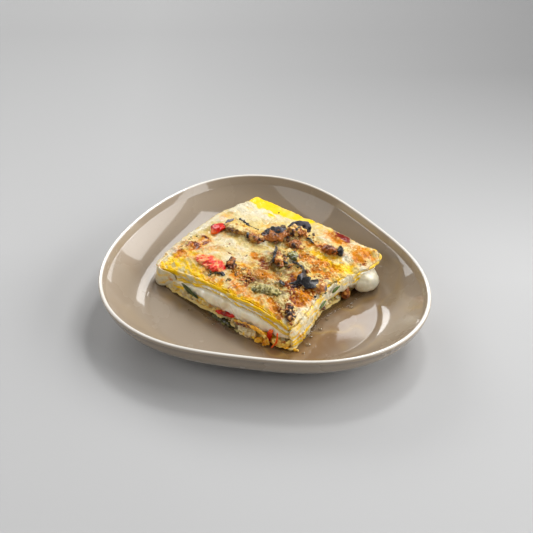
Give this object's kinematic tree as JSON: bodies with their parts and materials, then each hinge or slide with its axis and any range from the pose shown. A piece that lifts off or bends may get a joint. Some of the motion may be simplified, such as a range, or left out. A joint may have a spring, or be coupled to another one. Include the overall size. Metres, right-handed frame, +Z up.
{
  "type": "vegetable lasagne slice on a plate",
  "caption": "Square-cut slice of baked vegetable lasagne with a browned cheese top, on a deep rounded-triangle glazed plate.",
  "frame": {"origin": "middle of the plate's outline box, on the surface the plate stands on", "axes": "+Z up, +X along the plate's longest extent to the diner's right, +Y away from the diner"},
  "size_m": [0.24, 0.2264, 0.0396],
  "materials": {
    "glaze": "glossy taupe glaze with a thin cream edge",
    "pasta": "cooked egg pasta, moist and satin",
    "filling": "chopped vegetables and sauce, moist",
    "white_sauce": "thick white sauce, smooth and shiny",
    "gratin": "baked cheese, cream to deep orange brown, uneven",
    "tomato": "baked tomato, moist",
    "red_pepper": "roast red pepper, shiny",
    "aubergine_flesh": "roast aubergine flesh, brown",
    "aubergine_skin": "charred skin, blue black",
    "courgette": "baked courgette, grey green",
    "olive": "green olive",
    "mushroom": "roast mushroom, dark brown",
    "leaf": "cooked spinach leaf"
  },
  "bodies": {
    "root": {"plate": "glaze", "pasta_sheet_base": "pasta", "vegetable_filling_lower": "filling", "pasta_sheet_lower": "pasta", "white_sauce_layer": "white_sauce", "pasta_sheet_middle": "pasta", "vegetable_filling_upper": "filling", "pasta_sheet_top": "pasta", "gratin_crust": "gratin", "spinach_leaf_side": "leaf", "red_pepper_side": "red_pepper", "mushroom_slice_side": "mushroom", "courgette_cube_side": "courgette", "red_pepper_front": "red_pepper", "mushroom_stem_right": "mushroom", "white_sauce_drop": "white_sauce", "white_sauce_fold": "white_sauce", "tomato_piece": "tomato", "red_pepper_piece": "red_pepper", "aubergine_slice": "aubergine_flesh", "aubergine_end": "aubergine_flesh", "aubergine_wedge": "aubergine_flesh", "aubergine_curl": "aubergine_flesh", "charred_aubergine_centre": "aubergine_flesh", "green_olive_piece": "olive", "aubergine_pocket": "aubergine_flesh", "courgette_piece": "courgette", "charred_front_piece": "aubergine_skin", "charred_cube": "mushroom", "mushroom_cap_piece": "mushroom", "aubergine_skin": "aubergine_skin"}
  },
  "joints": []
}
